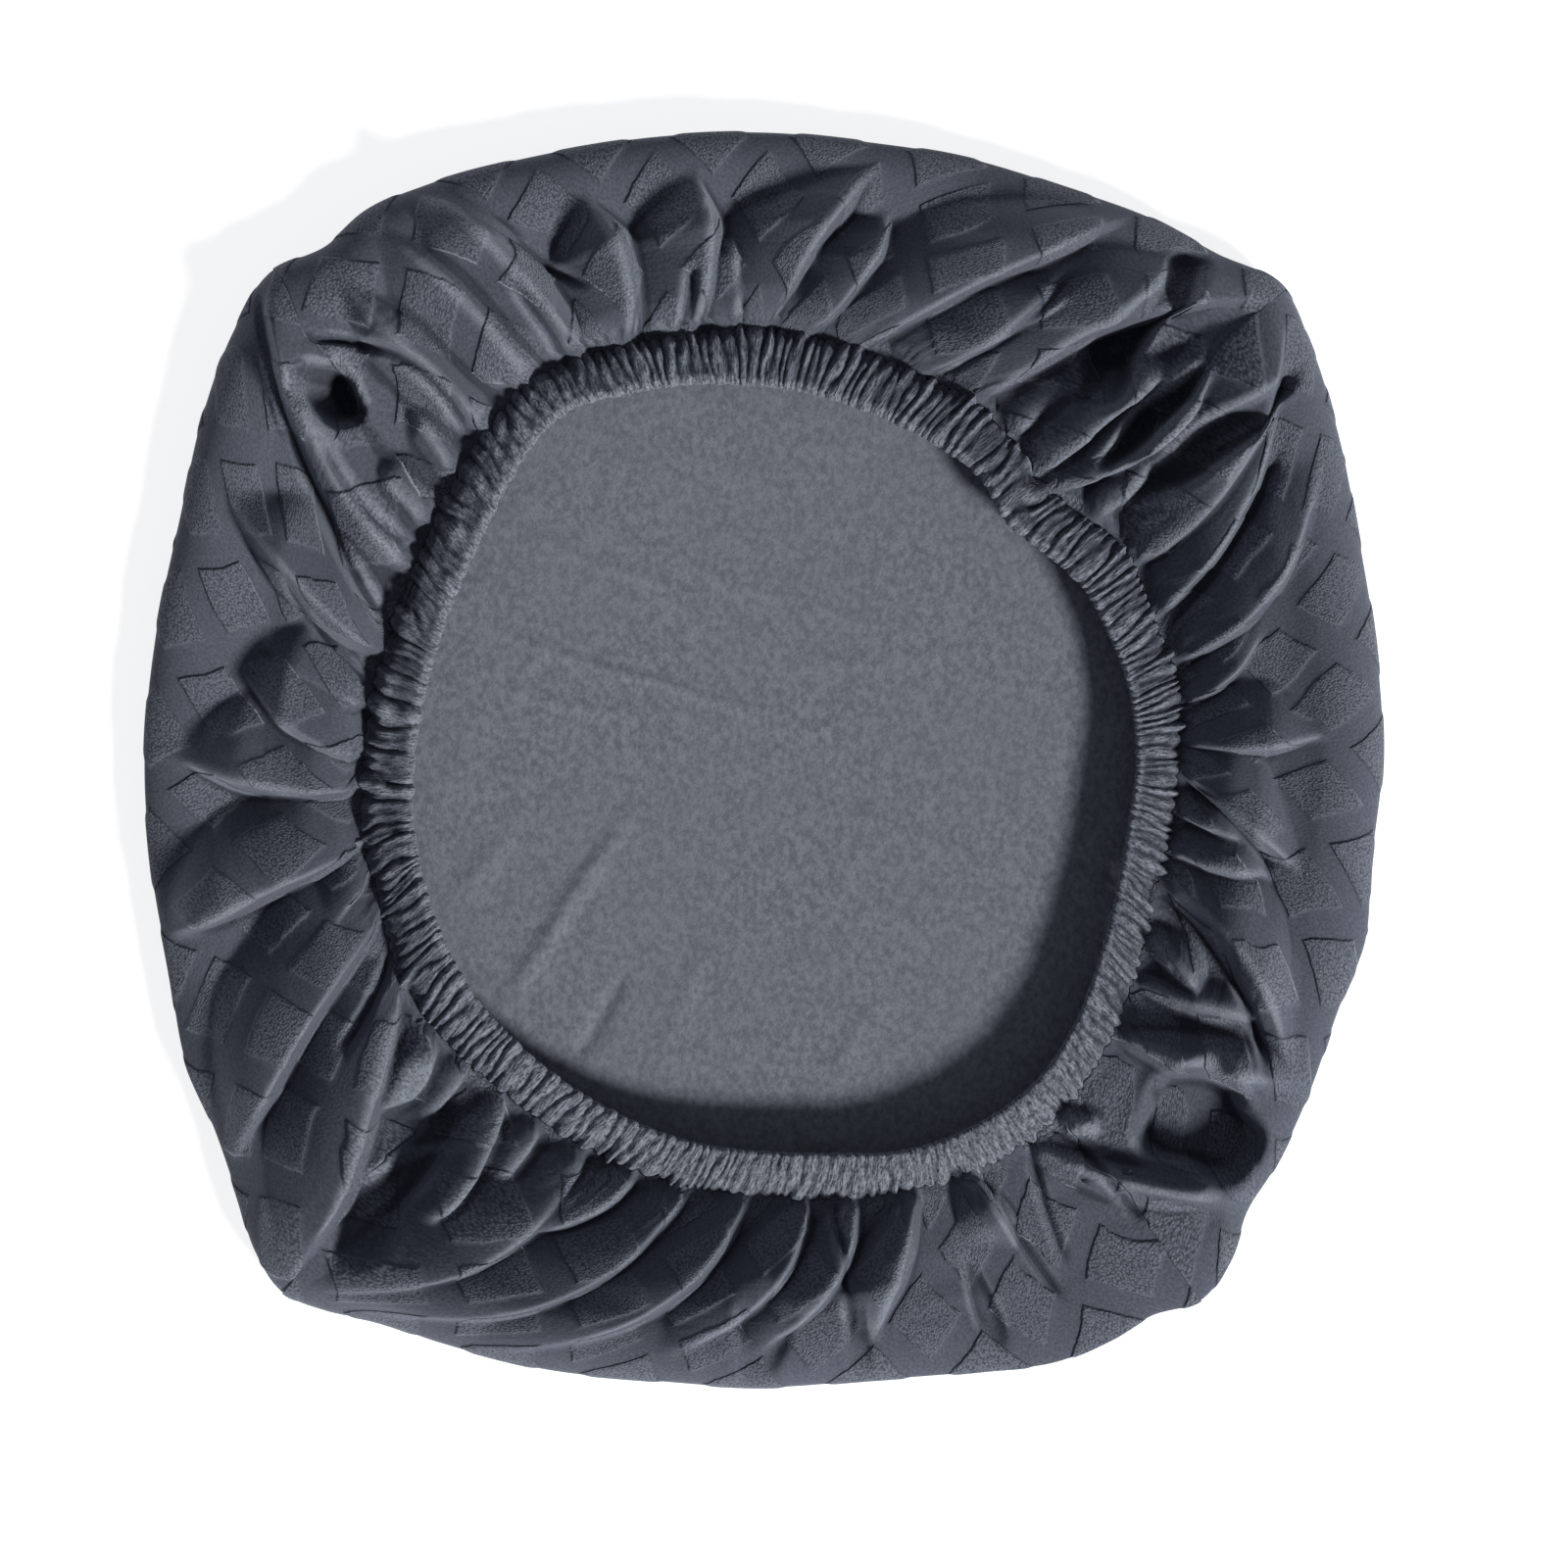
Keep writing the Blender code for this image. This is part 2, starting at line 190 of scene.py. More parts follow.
def on_ring(points, degrees):
    """A smooth closed curve through (angle, value) points, read at many angles."""
    a = np.array([p[0] for p in points], float)
    v = np.array([p[1] for p in points], float)
    a = np.concatenate([a - 360, a, a + 360])
    v = np.tile(v, 3)
    slope = np.gradient(v, a)
    d = np.mod(degrees, 360.0)
    k = np.searchsorted(a, d, side="right") - 1
    h = a[k + 1] - a[k]
    t = (d - a[k]) / h
    return (
        (2 * t**3 - 3 * t**2 + 1) * v[k]
        + (t**3 - 2 * t**2 + t) * h * slope[k]
        + (3 * t**2 - 2 * t**3) * v[k + 1]
        + (t**3 - t**2) * h * slope[k + 1]
    )


def soft(values, sigma, axis=-1, ring=True):
    """Gaussian blur along one axis."""
    reach = int(3 * sigma) + 1
    w = np.exp(-0.5 * (np.arange(-reach, reach + 1) / sigma) ** 2)
    w /= w.sum()
    v = np.moveaxis(values, axis, 0)
    if ring:
        padded = np.concatenate([v[-reach:], v, v[:reach]])
    else:
        padded = np.concatenate([np.repeat(v[:1], reach, 0), v, np.repeat(v[-1:], reach, 0)])
    out = np.zeros_like(v)
    for i, x in enumerate(w):
        out += x * padded[i : i + len(v)]
    return np.moveaxis(out, 0, axis)


def step(a, b, x):
    """0 up to a, 1 from b on, and a smooth change between."""
    t = np.clip((x - a) / (b - a), 0, 1)
    return t * t * (3 - 2 * t)


def swept(hem_degrees):
    """The outline angle at which the gather from this hem angle ends."""
    a = np.array([p[0] for p in SWEEP], float)
    b = np.array([p[1] for p in SWEEP], float)
    a = np.concatenate([a - 360, a, a + 360])
    b = np.concatenate([b - 360, b, b + 360])
    return np.interp(hem_degrees, a, b)


def columns():
    """Hem and outline angles of the cloth's columns, spaced so that neither edge is left coarse."""
    evenness = 0.6  # share of the spacing that follows the outline's length
    fine = np.linspace(0, 360, 7201)
    out = swept(fine)
    shift = soft((out - fine)[:-1], 12)
    out = fine + np.append(shift, shift[0])
    x = on_ring(OUTLINE, out) * np.cos(np.radians(out))
    y = on_ring(OUTLINE, out) * np.sin(np.radians(out))
    along = np.hypot(np.diff(x), np.diff(y))
    share = evenness * along / along.sum() + (1 - evenness) / len(along)
    total = np.concatenate([[0], np.cumsum(share)])
    hem = np.interp(np.arange(COLUMNS) / COLUMNS, total, fine)
    return hem, np.interp(hem, fine, out)


def lean_at(degrees):
    """+1 where the steep side of a fold faces falling angles, -1 where it faces rising ones."""
    return np.cos(np.radians(degrees - 45.0))


def smooth_noise(shape, sigma_rows, sigma_cols, seed):
    """Even, soft noise over the cloth, about -1 to 1."""
    v = np.random.default_rng(seed).normal(0, 1, shape)
    v = soft(soft(v, sigma_cols), sigma_rows, 0, ring=False)
    return v / (np.std(v) * 2)


def ruffle_edges():
    """The dips between the hem's ruffles, as hem angles from 0 to 360."""
    rng = np.random.default_rng(5)
    edges = [0.0]
    while edges[-1] < 360:
        at = edges[-1]
        wide = float(on_ring(SPACING, at)) * 1e-3 * rng.uniform(0.62, 1.50)
        edges.append(at + math.degrees(wide / float(on_ring(HEM_BASE, at))))
    return np.array(edges) * 360 / edges[-1]


def ruffles(hem, along):
    """Height of the gathers, 0 in the dips to 1. along runs from -1 out on the skirt to 1 at the rim."""
    edges = ruffle_edges()
    count = len(edges) - 1
    phase = np.interp(np.mod(hem, 360), edges, np.arange(count + 1))
    turn = 2 * np.pi * phase / count
    for waves, pace, size in WANDER:
        phase = phase + size * np.sin(turn * round(waves * count) + pace * along)
    phase = np.mod(phase, count)
    number = np.minimum(np.floor(phase).astype(int), count - 1)
    away = np.abs(2 * (phase - number) - 1)
    rng = np.random.default_rng(9)
    tall = rng.uniform(0.55, 1.0, count)
    starts = rng.uniform(0.1, 1.0, count)
    kind = rng.uniform(0, 1, count)
    swing = rng.uniform(0, 6.3, count)
    first = rng.uniform(-0.25, 0.40, count)
    wide = step(NARROW, WIDE, on_ring(SPACING, hem))
    body = 1 - away ** (1.7 + 0.5 * wide)
    # some wide ruffles are open loops, and some narrow ones double
    middle = np.exp(-((away / (0.28 + 0.14 * wide)) ** 2))
    body = body - middle * np.where(kind[number] > 0.55 - 0.2 * wide, 0.18 + 0.40 * wide, 0.0)
    # each has its own height, swells and thins on its way, and starts at its own place
    body = body * tall[number] * (0.84 + 0.16 * np.sin(4.5 * along + swing[number]))
    body = body * (0.90 + (0.10 + 0.06 * wide) * np.sin(13.0 * along + 2.3 * swing[number]))
    body = body * (0.60 + 0.40 * step(first[number] - 0.15, first[number] + 0.15, along))
    body = body * (1 - 0.25 * step(0.8, 1.0, along))
    return body * np.where(along < 0, np.clip(1 + along / starts[number], 0, 1), 1.0)


def sideways(degrees, line, radius):
    """How far each point lies from a line at these angles, round the cover, in metres."""
    return np.radians(np.mod(degrees - line + 180, 360) - 180) * radius


def along_line(degrees, radius, start, end, first, span, bow):
    """Each point's place along a line over the cloth, the line's angle there, and the distance to it."""
    s = (radius - first) / span
    line = start + (end - start) * s + bow * np.sin(np.pi * np.clip(s, 0, 1))
    slope = np.radians(end - start) * radius / span
    return s, line, sideways(degrees, line, radius) / np.sqrt(1 + slope**2)


def fold_height(degrees, radius):
    """How far the long folds stand up here. Each has a steep side to the light and a long back."""
    best = np.zeros_like(radius)
    for start, end, reach, bow, high, wide in FOLDS:
        first = float(on_ring(HEM_BASE, start))
        s, line, x = along_line(degrees, radius, start, end, first, reach * 1e-3 - first, bow)
        sunny = 0.5 + 0.5 * math.cos(math.radians(start - SUNNY_SIDE))
        low = HEM_SHARE - SUNNY_DROP * sunny + (SHORT_RISE if reach < SHORT_FOLD else 0.0)
        rise = step(FOLD_START[0], FOLD_START[1] + FOLD_START[2] * sunny, s)
        lift = FOLD_LIFT * high * (1 - step(*FOLD_END, s)) * (low + (1 - low) * rise)
        lift = lift * (HELD_SHARE + (1 - HELD_SHARE) * step(*HELD_END, s))
        leaning = np.clip(LEAN_GAIN * lean_at(line), -1, 1)
        lean = np.exp(LOPSIDED * leaning)
        half = FOLD_EDGE + wide * lift / FOLD_STEEP
        away = np.where(x < 0, -x * lean / half, x / (half * lean))
        rounding = STEEP_POWER + BACK_POWER * np.maximum(0, leaning * np.sign(x))
        best = np.maximum(best, lift * np.clip(1 - away**rounding, 0, 1))
    return best


def crease_depth(degrees, radius):
    """How deep the creases between laps of cloth are here."""
    groove = np.zeros_like(radius)
    for start, low, end, high, bow, deep, wide in CREASES:
        span = (high - low) * 1e-3
        s, _, x = along_line(degrees, radius, start, end, low * 1e-3, span, bow)
        ends = step(*CREASE_START, s) * (1 - step(*CREASE_END, s))
        groove = np.maximum(groove, deep * 1e-3 * ends * np.clip(1 - np.abs(x) / (wide * 1e-3), 0, 1))
    return groove


def with_hollows(z, degrees, radius, open_roof):
    """The heights with the hollows sunk in, each uneven in outline and with a slight lip."""
    for at, place, wide, long, deep in HOLLOWS:
        across = sideways(degrees, at, radius) / (wide * 1e-3)
        along = (radius - place * 1e-3) / (long * 1e-3)
        turn = np.arctan2(along, across)
        warp = min(1.0, 0.06 * wide) * (0.28 * np.sin(3 * turn + at) + 0.16 * np.sin(5 * turn + at))
        warp = warp * (POCKET_WARP if deep > POCKET_DEPTH else 1.0)
        d2 = (across**2 + along**2) * (1 + warp) ** 2
        lip = 0.05 * np.exp(-(((np.sqrt(d2) - 1.2) / 0.2) ** 2))
        z = z - deep * 1e-3 * open_roof * (np.exp(-(d2**3.2)) - lip)
    return z


def smooth_cloth():
    """The cover's skirt without folds: radius, angle in degrees and height, by row and column."""
    hem, out = columns()
    widest = on_ring(OUTLINE, out)
    base = on_ring(HEM_BASE, hem)
    wobble = HEM_WOBBLE * (ruffles(hem, 0.0) - 0.5)
    shoulder = SHOULDER_Z + 1e-3 * on_ring(LEVEL, out)
    share, height, radius = [], [], []
    for i in range(ROWS_UNDER):
        t = math.pi / 2 * i / ROWS_UNDER
        share.append(0.0)
        radius.append(widest - TURN_UNDER + TURN_UNDER * math.sin(t))
        height.append(FLOOR_GAP + (WIDEST_Z - FLOOR_GAP) * (1 - math.cos(t)) + 0 * out)
    for i in range(ROWS_ROLL):
        t = math.pi / 2 * i / ROWS_ROLL
        share.append(ROLL_SHARE * (1 - math.cos(t)))
        radius.append(widest + (base - widest) * share[-1])
        height.append(WIDEST_Z + (shoulder - WIDEST_Z) * math.sin(t))
    for i in range(ROWS_ROOF):
        t = i / (ROWS_ROOF - 1)
        share.append(ROLL_SHARE + (1 - ROLL_SHARE) * t)
        pushed = wobble * float(step(WOBBLE_FROM, 1.0, share[-1]))
        radius.append(widest + (base - widest) * share[-1] + pushed)
        height.append(shoulder + (HEM_Z - shoulder) * t**ROOF_POWER)
    share, radius = np.array(share), np.array(radius)
    turn = np.clip((share - STRAIGHT_SHARE) / (1 - STRAIGHT_SHARE), 0, 1)[:, None]
    return hem, out, share, radius, out[None] + (hem - out)[None] * turn, np.array(height)


def in_space(degrees, radius, height):
    """Points from their angles, radii and heights."""
    a = np.radians(degrees)
    return np.stack([radius * np.cos(a), radius * np.sin(a), height], -1)


LEAN_SHARE = 0.26  # how far a fold leans over, as a share of its height
RUFFLED_SHARE = 0.22  # share of the roof, next to the hem, on which the ruffles run out
RUFFLE_RISE, RUFFLE_LEVEL = 0.55, 0.4  # their height against their spacing, and the part that lies below


def lifted(degrees, radius, height, share, hem):
    """The folded height and the sideways shift in degrees of each point."""
    f = share[:, None]
    open_roof = step(0.0, 0.16, f)
    fold = fold_height(degrees, radius) * open_roof
    shift = -np.degrees(LEAN_SHARE * lean_at(degrees) * fold / radius)
    near = np.clip((f - 1) / RUFFLED_SHARE, -1, 0)
    ruffle = ruffles(np.repeat(hem[None], len(f), 0), np.repeat(near, len(hem), 1))
    spacing = on_ring(SPACING, hem)[None] * 1e-3
    z = height - 1e-3 * on_ring(SINK, degrees) * step(0.06, 0.5, f) + fold - crease_depth(degrees, radius)
    z = z + spacing * RUFFLE_RISE * (ruffle - RUFFLE_LEVEL * (1 + near))
    z = with_hollows(z, degrees, radius, open_roof)
    return np.clip(z, np.where(f > 0.02, LOWEST, 0), HIGHEST), shift


UNEVEN = 0.0007  # height in metres of the cloth's soft unevenness
PAINTED_LIGHT_HEIGHT = 0.0009  # what stands this far over its surroundings, or under them, gets the full painted highlight or painted shade
GATHER_DRIFT = 0.45  # how far the pattern is drawn round with the gathers, as a share


def settle():
    """The folded skirt, the place of its points on the flat cloth, and how far they stand out, which sets
    their painted highlight and painted shade.

    Returns the points by row and column, the way up the flat cloth, the drift and the way round it, each
    row's share of the roof, each column's hem and outline angle, and how far each point stands over or
    under its neighbours, for its painted highlight or painted shade.
    """
    hem, out, share, radius, degrees, height = smooth_cloth()
    plain = in_space(degrees, radius, height)
    z, _ = lifted(degrees, radius, height, share, hem)
    # the columns spread evenly over the folds, as the cloth does
    x = in_space(degrees, radius, z)
    flat = np.linalg.norm(np.roll(plain, -1, 1) - plain, axis=-1)
    over = np.linalg.norm(np.roll(x, -1, 1) - x, axis=-1) / flat
    density = 0.25 + 0.75 * (over / soft(over, 30))
    total = np.concatenate([np.zeros((len(x), 1)), np.cumsum(density, 1)], 1)
    total *= COLUMNS / total[:, -1:]
    index = np.arange(COLUMNS)
    for i in range(len(x)):
        if share[i] > 0.02:
            ring = np.append(degrees[i], degrees[i, 0] + 360)
            moved = np.interp(index, total[i], ring)
            offset = soft(moved - degrees[i], 1.5)
            degrees[i] += offset * step(0.02, 0.3, share[i]) * (1 - step(0.93, 1.0, share[i]))
    z, shift = lifted(degrees, radius, height, share, hem)
    hold = (1 - step(0.94, 1.0, share))[:, None]
    z = z + UNEVEN * smooth_noise(z.shape, 5, 9, 4) * step(0.05, 0.4, share)[:, None] * hold
    x = in_space(degrees + shift * hold, radius, soft(soft(z, 0.8), 0.8, 0, ring=False))

    open_cloth = step(0.1, 0.3, share) * (1 - step(0.93, 1.0, share))
    # painted light: points above the cloth round them get a painted highlight, points below it get painted
    # shade
    painted_light = np.clip((x[..., 2] - soft(x[..., 2], 2.2)) / PAINTED_LIGHT_HEIGHT, -1, 1) * open_cloth[:, None]

    # the flat cloth: gathered evenly more and more towards the hem
    up = np.cumsum(np.linalg.norm(np.diff(plain, axis=0), axis=-1), 0)
    up = np.concatenate([np.zeros((1, COLUMNS)), up])
    up = soft(up, 40)
    at_rim = flat[ROWS_UNDER]
    around = np.concatenate([[0], np.cumsum(at_rim)])
    straight = around[-1] * (hem - hem[0]) / 360
    follow = around[:-1] - straight
    drift = -GATHER_DRIFT * step(0.1, 1.0, share)[:, None] * soft(follow - follow.mean(), 20)[None]
    return x, up, drift, around, share, hem, out, painted_light


# ---- Cloth pattern: raised diamonds ---------------------------------------------------------------

# Directions of the diamonds' two edges, in degrees from the flap's width, and their pitches in metres.
LATTICE = {
    "skirt_back": (50, 128, 0.0330, 0.0330),
    "skirt_left": (46, 126, 0.0335, 0.0335),
    "skirt_front": (48, 130, 0.0330, 0.0330),
    "skirt_right": (46, 122, 0.0330, 0.0330),
}
CELL = 0.031  # how far apart two diamonds are in the coordinates that the materials read
PAD_SHARE = 0.68
PAD_HEIGHT = 0.0005
PAD_EDGE = 0.0011  # half the width of a diamond's rounded edge


def lattice(u, v, edges):
    """Two lattice coordinates, whose whole numbers are the middles of the diamonds."""
    first, second, pitch_1, pitch_2 = edges
    a, b = math.radians(first), math.radians(second)
    return (u * -math.sin(a) + v * math.cos(a)) / pitch_1, (u * -math.sin(b) + v * math.cos(b)) / pitch_2


def pad_height(p, q):
    """1 on a diamond and 0 on the bands between, with a rounded edge."""
    half = PAD_SHARE / 2
    edge = PAD_EDGE / CELL
    dp = half - np.abs(p - np.round(p))
    dq = half - np.abs(q - np.round(q))
    return step(-edge, edge, np.minimum(dp, dq))


# ---- Materials ------------------------------------------------------------------------------------

# Darkest and lightest tone of each cloth, and the tones that lie over them. Scales are in cells per metre.
BAND = (0.046, 0.051, 0.066, 1), (0.084, 0.092, 0.113, 1)
PAD = (0.036, 0.041, 0.055, 1), (0.134, 0.145, 0.171, 1)
WORN = (0.066, 0.075, 0.096, 1)
# painted shade: a dark line along the groove at each diamond's edge
PAINTED_GROOVE_SHADE = (0.022, 0.025, 0.034, 1)
# painted shade laid in the creases between folds
PAINTED_CREASE_SHADE = (0.012, 0.014, 0.020, 1)
# painted highlight laid on the fold crests
PAINTED_CREST_HIGHLIGHT = (0.225, 0.242, 0.274, 1)
REVERSE = (0.084, 0.092, 0.110, 1), (0.156, 0.169, 0.191, 1)
REVERSE_WORN = (0.118, 0.128, 0.149, 1)
HEM = (0.036, 0.041, 0.055, 1), (0.222, 0.238, 0.270, 1)
# painted shade laid in the dips between the ruffles and on the casing's inside
PAINTED_DIP_SHADE = (0.016, 0.019, 0.027, 1)
THREAD = (0.030, 0.035, 0.048, 1), (0.075, 0.084, 0.105, 1)
ELASTIC = (0.012, 0.012, 0.015, 1), (0.04, 0.04, 0.048, 1)
SHEEN = (0.62, 0.68, 0.8, 1)


class Nodes:
    """A short way to write shader nodes."""

    def __init__(self, name):
        self.material = bpy.data.materials.new(name)
        self.material.use_nodes = True
        self.tree = self.material.node_tree
        self.shader = self.tree.nodes["Principled BSDF"]

    def make(self, kind, values=None, **settings):
        """A node with its settings, and its inputs set to values or joined to other nodes' outputs."""
        node = self.tree.nodes.new(kind)
        for key, value in settings.items():
            setattr(node, key, value)
        for key, value in (values or {}).items():
            if hasattr(value, "bl_rna") and hasattr(value, "is_output"):
                self.tree.links.new(value, node.inputs[key])
            else:
                node.inputs[key].default_value = value
        return node

    def math(self, operation, a, b=0.0, c=0.0):
        return self.make("ShaderNodeMath", {0: a, 1: b, 2: c}, operation=operation).outputs[0]

    def ramp(self, value, low, high, to_low=0.0, to_high=1.0):
        values = {"Value": value, "From Min": low, "From Max": high, "To Min": to_low, "To Max": to_high}
        return self.make("ShaderNodeMapRange", values, interpolation_type="SMOOTHSTEP").outputs["Result"]

    def mix(self, share, a, b):
        return self.make("ShaderNodeMix", {0: share, 6: a, 7: b}, data_type="RGBA").outputs[2]

    def noise(self, place, scale, detail=3.0, rough=0.55):
        values = {"Vector": place, "Scale": scale, "Detail": detail, "Roughness": rough}
        return self.make("ShaderNodeTexNoise", values).outputs["Fac"]

    def bump(self, height, distance, strength=1.0):
        values = {"Height": height, "Distance": distance, "Strength": strength}
        return self.make("ShaderNodeBump", values).outputs["Normal"]

    def attribute(self, name):
        return self.make("ShaderNodeAttribute", attribute_name=name, attribute_type="GEOMETRY")

    def finish(self, colour, normal, roughness=0.92, sheen=0.25):
        self.tree.links.new(colour, self.shader.inputs["Base Color"])
        self.tree.links.new(normal, self.shader.inputs["Normal"])
        self.shader.inputs["Roughness"].default_value = roughness
        self.shader.inputs["Specular IOR Level"].default_value = 0.12
        self.shader.inputs["Sheen Weight"].default_value = sheen
        self.shader.inputs["Sheen Roughness"].default_value = 0.45
        self.shader.inputs["Sheen Tint"].default_value = SHEEN
        return self.material


def jacquard():
    """The outer face: looped diamonds on smooth bands, with painted shade in the creases and round the
    diamonds' edges and a painted highlight on the crests.

    The mesh's cloth attribute holds the cloth's own place, in which the diamonds are CELL apart, and its
    other attribute says how far a point stands over or under the cloth round it, which sets the painted
    highlight and painted shade.
    """
    n = Nodes("quilted_fabric")
    place = n.attribute("cloth").outputs["Vector"]
    axes = n.make("ShaderNodeSeparateXYZ", {"Vector": place}).outputs
    inside = []
    for axis in (axes[0], axes[1]):
        cell = n.math("FRACT", n.math("MULTIPLY_ADD", axis, 1 / CELL, 0.5))
        inside.append(n.math("ABSOLUTE", n.math("SUBTRACT", cell, 0.5)))
    beyond = n.math("SUBTRACT", n.math("MAXIMUM", inside[0], inside[1]), PAD_SHARE / 2)
    worn = n.math("MULTIPLY_ADD", n.noise(place, 260.0, 2.0), 0.03, -0.015)
    edge = n.ramp(n.math("ADD", beyond, worn), 0.016, -0.016)
    groove = n.ramp(n.math("ABSOLUTE", beyond), 0.03, 0.0)
    terry = n.noise(place, 1700.0, 2.0, 0.6)
    loops = n.make("ShaderNodeTexVoronoi", {"Vector": place, "Scale": 1080.0}).outputs["Distance"]
    patchy = n.noise(place, 40.0, 3.0)
    stipple = n.math("SUBTRACT", n.math("MULTIPLY_ADD", terry, 0.7, 0.45), n.math("MULTIPLY", loops, 0.85))
    grain = n.ramp(n.noise(place, 900.0, 3.0, 0.7), 0.30, 0.70)
    colour = n.mix(edge, n.mix(grain, *BAND), n.mix(n.ramp(stipple, 0.0, 0.75), *PAD))
    # painted shade along the groove at each diamond's edge
    colour = n.mix(n.math("MULTIPLY", groove, 0.14), colour, PAINTED_GROOVE_SHADE)
    colour = n.mix(n.ramp(patchy, 0.3, 0.7, 0.0, 0.25), colour, WORN)
    painted_light = n.attribute("painted_light").outputs["Fac"]
    # painted shade where the cloth lies under its surroundings, in the creases
    colour = n.mix(n.ramp(painted_light, -0.15, -0.9, 0.0, 0.65), colour, PAINTED_CREASE_SHADE)
    # painted highlight on the crests, broken up by the terry
    lit = n.math("MULTIPLY", n.ramp(painted_light, 0.2, 1.0, 0.0, 0.50), n.ramp(terry, 0.25, 0.65, 0.25, 1.0))
    colour = n.mix(lit, colour, PAINTED_CREST_HIGHLIGHT)
    raised = n.math("MULTIPLY", n.math("MULTIPLY", stipple, edge), 0.55)
    relief = n.math("ADD", raised, n.math("MULTIPLY", grain, 0.10))
    return n.finish(colour, n.bump(n.math("ADD", relief, edge), 0.0008))


def reverse():
    """The smooth inner face of the same cloth."""
    n = Nodes("fabric_reverse")
    place = n.attribute("cloth").outputs["Vector"]
    knit = n.noise(place, 1300.0, 2.0)
    patchy = n.noise(place, 25.0, 3.0)
    mottle = n.ramp(n.noise(place, 430.0, 4.0, 0.7), 0.30, 0.70)
    colour = n.mix(n.ramp(patchy, 0.3, 0.7, 0.0, 0.3), n.mix(mottle, *REVERSE), REVERSE_WORN)
    return n.finish(colour, n.bump(knit, 0.0003, 0.6), sheen=0.1)


def hem_cloth():
    """The gathered hem: the same looped cloth, drawn up tight. Its pad attribute is 0 in the dips, which
    get painted shade, as does the casing's inside.
    """
    n = Nodes("hem_fabric")
    place = n.attribute("cloth").outputs["Vector"]
    high = n.attribute("pad").outputs["Fac"]
    drawn = n.make("ShaderNodeMapping", {"Vector": place, "Scale": (1.0, 0.35, 1.0)}).outputs["Vector"]
    streaks = n.noise(drawn, 640.0, 2.0, 0.6)
    terry = n.math("MULTIPLY_ADD", streaks, 0.5, n.math("MULTIPLY", n.noise(place, 600.0, 3.0, 0.70), 0.5))
    colour = n.mix(n.ramp(terry, 0.36, 0.64), *HEM)
    # painted shade in the dips and on the casing's inside, where the pad attribute is low
    colour = n.mix(n.ramp(high, 0.05, 0.68, 0.90, 0.0), colour, PAINTED_DIP_SHADE)
    return n.finish(colour, n.bump(terry, 0.0019), sheen=0.3)


def thread():
    """Sewing thread with a fine twist."""
    n = Nodes("sewing_thread")
    place = n.make("ShaderNodeTexCoord").outputs["Object"]
    twist = n.noise(place, 2500.0, 1.0)
    return n.finish(n.mix(twist, *THREAD), n.bump(twist, 0.0002, 0.8), roughness=0.8, sheen=0.1)


def elastic():
    """Ribbed elastic webbing."""
    n = Nodes("elastic_webbing")
    place = n.make("ShaderNodeTexCoord").outputs["Object"]
    ribs = n.make("ShaderNodeTexWave", {"Vector": place, "Scale": 400.0}, wave_type="RINGS").outputs["Fac"]
    return n.finish(n.mix(ribs, *ELASTIC), n.bump(ribs, 0.0003, 0.8), roughness=0.7, sheen=0.0)


# ---- Building meshes ------------------------------------------------------------------------------


def grid_faces(rows, cols, ring):
    """Quads of a grid of points whose columns may close into a ring."""
    i = np.arange(rows - 1)[:, None]
    j = np.arange(cols if ring else cols - 1)[None]
    after = (j + 1) % cols
    quads = [i * cols + j, i * cols + after, (i + 1) * cols + after, (i + 1) * cols + j]
    return np.stack(quads, -1).reshape(-1, 4)


def mesh_object(name, points, faces, materials, cloth=None, which=None, painted_light=None, pad=None):
    """A mesh in the scene, with what its materials read of each point and which one each face has."""
    points = np.asarray(points, float).reshape(-1, 3)
    mesh = bpy.data.meshes.new(name)
    mesh.from_pydata(points.tolist(), [], faces.tolist() if isinstance(faces, np.ndarray) else faces)
    for material in materials:
        mesh.materials.append(material)
    if which is not None:
        mesh.polygons.foreach_set("material_index", np.asarray(which, np.int32))
    if cloth is not None:
        at = mesh.attributes.new("cloth", "FLOAT_VECTOR", "POINT")
        at.data.foreach_set("vector", np.asarray(cloth, np.float32).ravel())
    for label, values in (("painted_light", painted_light), ("pad", pad)):
        if values is not None:
            at = mesh.attributes.new(label, "FLOAT", "POINT")
            at.data.foreach_set("value", np.asarray(values, np.float32).ravel())
    mesh.shade_smooth()
    mesh.update()
    made = bpy.data.objects.new(name, mesh)
    bpy.context.scene.collection.objects.link(made)
    return made


def normals_of(x):
    """Normals of a ring of points, outwards when columns run anticlockwise and rows run inwards."""
    n = np.cross(np.roll(x, -1, 1) - np.roll(x, 1, 1), np.gradient(x, axis=0))
    return n / (np.linalg.norm(n, axis=-1, keepdims=True) + 1e-12)


def two_faced(name, outer, inner, cloth, painted_light, materials):
    """A closed piece of cloth from its outer and its inner face, joined round the border."""
    rows, cols = outer.shape[:2]
    face = grid_faces(rows, cols, False)
    count = rows * cols
    back = face[:, ::-1] + count
    sides = [
        np.arange(cols),
        np.arange(1, rows) * cols + cols - 1,
        (rows - 1) * cols + np.arange(cols - 2, -1, -1),
        np.arange(rows - 2, 0, -1) * cols,
    ]
    border = np.concatenate(sides)
    after = np.roll(border, -1)
    rim = np.stack([border, border + count, after + count, after], -1)
    return mesh_object(
        "cloth_" + name,
        np.concatenate([outer.reshape(-1, 3), inner.reshape(-1, 3)]),
        np.concatenate([face, back, rim]),
        materials,
        cloth=np.concatenate([cloth.reshape(-1, 3)] * 2),
        which=[0] * len(face) + [1] * len(back) + [0] * len(rim),
        painted_light=np.concatenate([painted_light.ravel(), np.zeros(count)]),
    )


def corner_columns(out):
    """The columns of the cloth at which the four corners lie."""
    return [int(np.argmin(np.abs(out - corner))) for corner in CORNERS]


